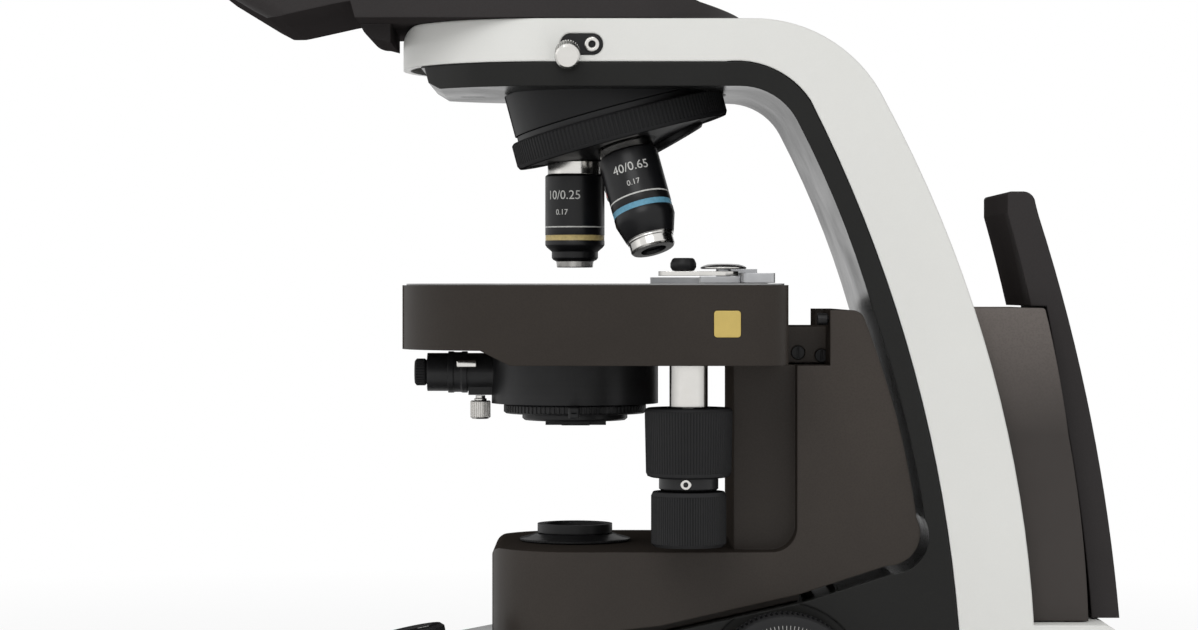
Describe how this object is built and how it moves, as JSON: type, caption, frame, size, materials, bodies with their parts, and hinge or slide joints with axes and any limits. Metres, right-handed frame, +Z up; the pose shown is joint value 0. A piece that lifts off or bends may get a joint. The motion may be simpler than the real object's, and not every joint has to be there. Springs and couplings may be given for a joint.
{
  "type": "upright microscope",
  "caption": "Upright light microscope with an arched white frame, focusing cross stage, condenser, tilted revolving nosepiece and inclined binocular head",
  "frame": {"origin": "centre of the middle foot's underside, on the optical axis at table level", "axes": "+X to the user's right, +Y away from the user, +Z up"},
  "size_m": [0.2111, 0.4125, 0.4347],
  "materials": {
    "white_shell": "satin, lightly textured",
    "dark_casting": "powder coated, fine texture",
    "brown_shell": "satin",
    "taupe_shell": "satin",
    "dark_shell": "satin",
    "base_casting": "powder coated",
    "foot_rubber": "matte",
    "knob_rubber": "matte, ribbed",
    "black_metal": "black anodised",
    "silver_metal": "turned, satin",
    "steel": "ground",
    "bright_steel": "polished",
    "brass_part": "satin",
    "gold_inlay": "printed film",
    "optic_glass": "polished",
    "lamp_white": "matt",
    "board_green": "gloss",
    "black_plastic": "matt"
  },
  "bodies": {
    "stand": {"frame_cover": "white_shell", "inner_frame": "dark_casting", "illuminator_body": "brown_shell", "rear_housing": "taupe_shell", "cord_winder": "dark_shell", "base_plate": "base_casting", "rubber_feet": "foot_rubber", "field_lens_mount": "black_metal", "field_lens": "optic_glass", "heat_sink": "silver_metal", "lamp_module": "lamp_white", "power_board": "board_green", "power_inlet": "black_plastic", "nosepiece_base": "dark_casting", "focus_rails": "steel", "head_seat": "steel", "slot_inlay": "black_plastic"},
    "stage": {"focus_slider": "black_metal", "bracket_screws": "bright_steel", "focus_rack": "brass_part", "stage_casing": "brown_shell", "stage_badge": "gold_inlay", "stage_plate": "black_metal", "drive_column": "silver_metal", "condenser_carrier": "black_metal"},
    "coarse_focus": {"focus_pinion": "steel", "coarse_knobs": "knob_rubber"},
    "fine_focus": {"fine_knobs": "black_metal"},
    "tension_ring": {"tension_ring": "black_metal"},
    "cross_carriage": {"y_carriage": "black_metal"},
    "specimen_holder": {"specimen_holder": "black_metal", "pivot_disc": "bright_steel"},
    "holder_finger": {"holder_finger": "black_metal", "finger_knob": "black_plastic"},
    "upper_drive_knob": {"y_knob": "black_plastic"},
    "lower_drive_knob": {"x_knob": "black_plastic"},
    "condenser": {"condenser_body": "black_metal", "condenser_lens": "optic_glass"},
    "aperture_ring": {"aperture_ring": "black_metal"},
    "condenser_knob": {"condenser_knob": "black_plastic"},
    "condenser_clamp": {"condenser_clamp": "silver_metal"},
    "nosepiece": {"turret": "black_metal", "turret_grip": "knob_rubber", "objective_10x": "silver_metal", "objective_40x": "silver_metal", "objective_4x": "silver_metal", "port_cap": "black_plastic"},
    "head": {"head_housing": "white_shell"},
    "right_eye": {"right_tube": "black_metal", "right_eyepiece": "black_metal", "right_eyecup": "foot_rubber"},
    "left_eye": {"left_tube": "black_metal", "left_eyepiece": "black_metal", "left_eyecup": "foot_rubber"},
    "diopter_ring": {"diopter_ring": "black_plastic"},
    "head_clamp": {"head_clamp": "silver_metal"},
    "brightness_dial": {"brightness_dial": "black_plastic"},
    "power_switch": {"power_switch": "black_plastic"},
    "field_ring": {"field_ring": "black_metal"},
    "stop_knob": {"stop_knob": "black_plastic"}
  },
  "joints": [
    {"name": "stage_lift", "type": "slide", "parent": "stand", "child": "stage", "axis": [0, 0, 1], "range_m": [-0.015, 0]},
    {"name": "coarse_turn", "type": "hinge", "parent": "stand", "child": "coarse_focus", "pos_m": [0, 0.083, 0.052], "axis": [1, 0, 0], "range_deg": [-150, 5]},
    {"name": "fine_turn", "type": "hinge", "parent": "stand", "child": "fine_focus", "pos_m": [0, 0.083, 0.052], "axis": [1, 0, 0], "continuous": true},
    {"name": "tension_turn", "type": "hinge", "parent": "stand", "child": "tension_ring", "pos_m": [0.062, 0.083, 0.052], "axis": [1, 0, 0], "range_deg": [0, 60]},
    {"name": "carriage_slide", "type": "slide", "parent": "stage", "child": "cross_carriage", "axis": [0, 1, 0], "range_m": [-0.04, 0.004]},
    {"name": "holder_slide", "type": "slide", "parent": "cross_carriage", "child": "specimen_holder", "axis": [1, 0, 0], "range_m": [-0.03, 0.03]},
    {"name": "finger_swing", "type": "hinge", "parent": "specimen_holder", "child": "holder_finger", "pos_m": [0.046, 0.0598, 0.2146], "axis": [0, 0, 1], "range_deg": [0, 30], "stiffness_Nm_per_rad": 0.05, "springref_deg": -11.46},
    {"name": "upper_knob_turn", "type": "hinge", "parent": "stage", "child": "upper_drive_knob", "pos_m": [0.077, 0.045, 0.148], "axis": [0, 0, 1], "range_deg": [-310, 35]},
    {"name": "lower_knob_turn", "type": "hinge", "parent": "stage", "child": "lower_drive_knob", "pos_m": [0.077, 0.045, 0.118], "axis": [0, 0, 1], "range_deg": [-232, 232]},
    {"name": "condenser_focus", "type": "slide", "parent": "stage", "child": "condenser", "axis": [0, 0, 1], "range_m": [-0.012, 0]},
    {"name": "condenser_knob_turn", "type": "hinge", "parent": "condenser", "child": "condenser_knob", "pos_m": [0, -0.064, 0.174], "axis": [0, 1, 0], "range_deg": [-175, 5]},
    {"name": "aperture_turn", "type": "hinge", "parent": "condenser", "child": "aperture_ring", "pos_m": [0, 0, 0.158], "axis": [0, 0, 1], "range_deg": [-35, 35]},
    {"name": "condenser_clamp_turn", "type": "hinge", "parent": "condenser", "child": "condenser_clamp", "pos_m": [0, -0.0392, 0.159], "axis": [0, 0, 1], "range_deg": [0, 180]},
    {"name": "nosepiece_turn", "type": "hinge", "parent": "stand", "child": "nosepiece", "pos_m": [0, 0, 0.3438], "axis": [0, 0.2588, -0.9659], "continuous": true},
    {"name": "head_turn", "type": "hinge", "parent": "stand", "child": "head", "pos_m": [0, 0, 0.3157], "axis": [0, 0, 1], "range_deg": [-90, 90]},
    {"name": "right_eye_swing", "type": "hinge", "parent": "head", "child": "right_eye", "pos_m": [0, 0, 0.34], "axis": [0, -0.866, 0.5], "range_deg": [-15, 20]},
    {"name": "left_eye_swing", "type": "hinge", "parent": "head", "child": "left_eye", "pos_m": [0, 0, 0.34], "axis": [0, -0.866, 0.5], "range_deg": [-20, 15]},
    {"name": "diopter_turn", "type": "hinge", "parent": "left_eye", "child": "diopter_ring", "pos_m": [-0.03201, -0.00977, 0.32308], "axis": [0, -0.866, 0.5], "range_deg": [-90, 90]},
    {"name": "head_clamp_turn", "type": "hinge", "parent": "stand", "child": "head_clamp", "pos_m": [0.0617, -0.0024, 0.3024], "axis": [0.9659, 0, -0.2588], "range_deg": [0, 540]},
    {"name": "dial_turn", "type": "hinge", "parent": "stand", "child": "brightness_dial", "pos_m": [0.042, -0.065, 0.0629], "axis": [0, -0.2079, 0.9781], "range_deg": [0, 270]},
    {"name": "switch_rock", "type": "hinge", "parent": "stand", "child": "power_switch", "pos_m": [-0.024, 0.224, 0.034], "axis": [1, 0, 0], "range_deg": [-8, 8]},
    {"name": "field_ring_turn", "type": "hinge", "parent": "stand", "child": "field_ring", "pos_m": [0, 0, 0.1058], "axis": [0, 0, 1], "range_deg": [-60, 60]},
    {"name": "stop_turn", "type": "hinge", "parent": "stand", "child": "stop_knob", "pos_m": [0.05, 0.1016, 0.1964], "axis": [0, -1, 0], "range_deg": [0, 360]}
  ],
  "couplings": [
    {"joint": "coarse_turn", "follows": "stage_lift", "rad_per_m": 166.67},
    {"joint": "upper_knob_turn", "follows": "carriage_slide", "rad_per_m": 133.33},
    {"joint": "lower_knob_turn", "follows": "holder_slide", "rad_per_m": 133.33},
    {"joint": "condenser_knob_turn", "follows": "condenser_focus", "rad_per_m": 250},
    {"joint": "left_eye_swing", "follows": "right_eye_swing", "ratio": -1}
  ]
}
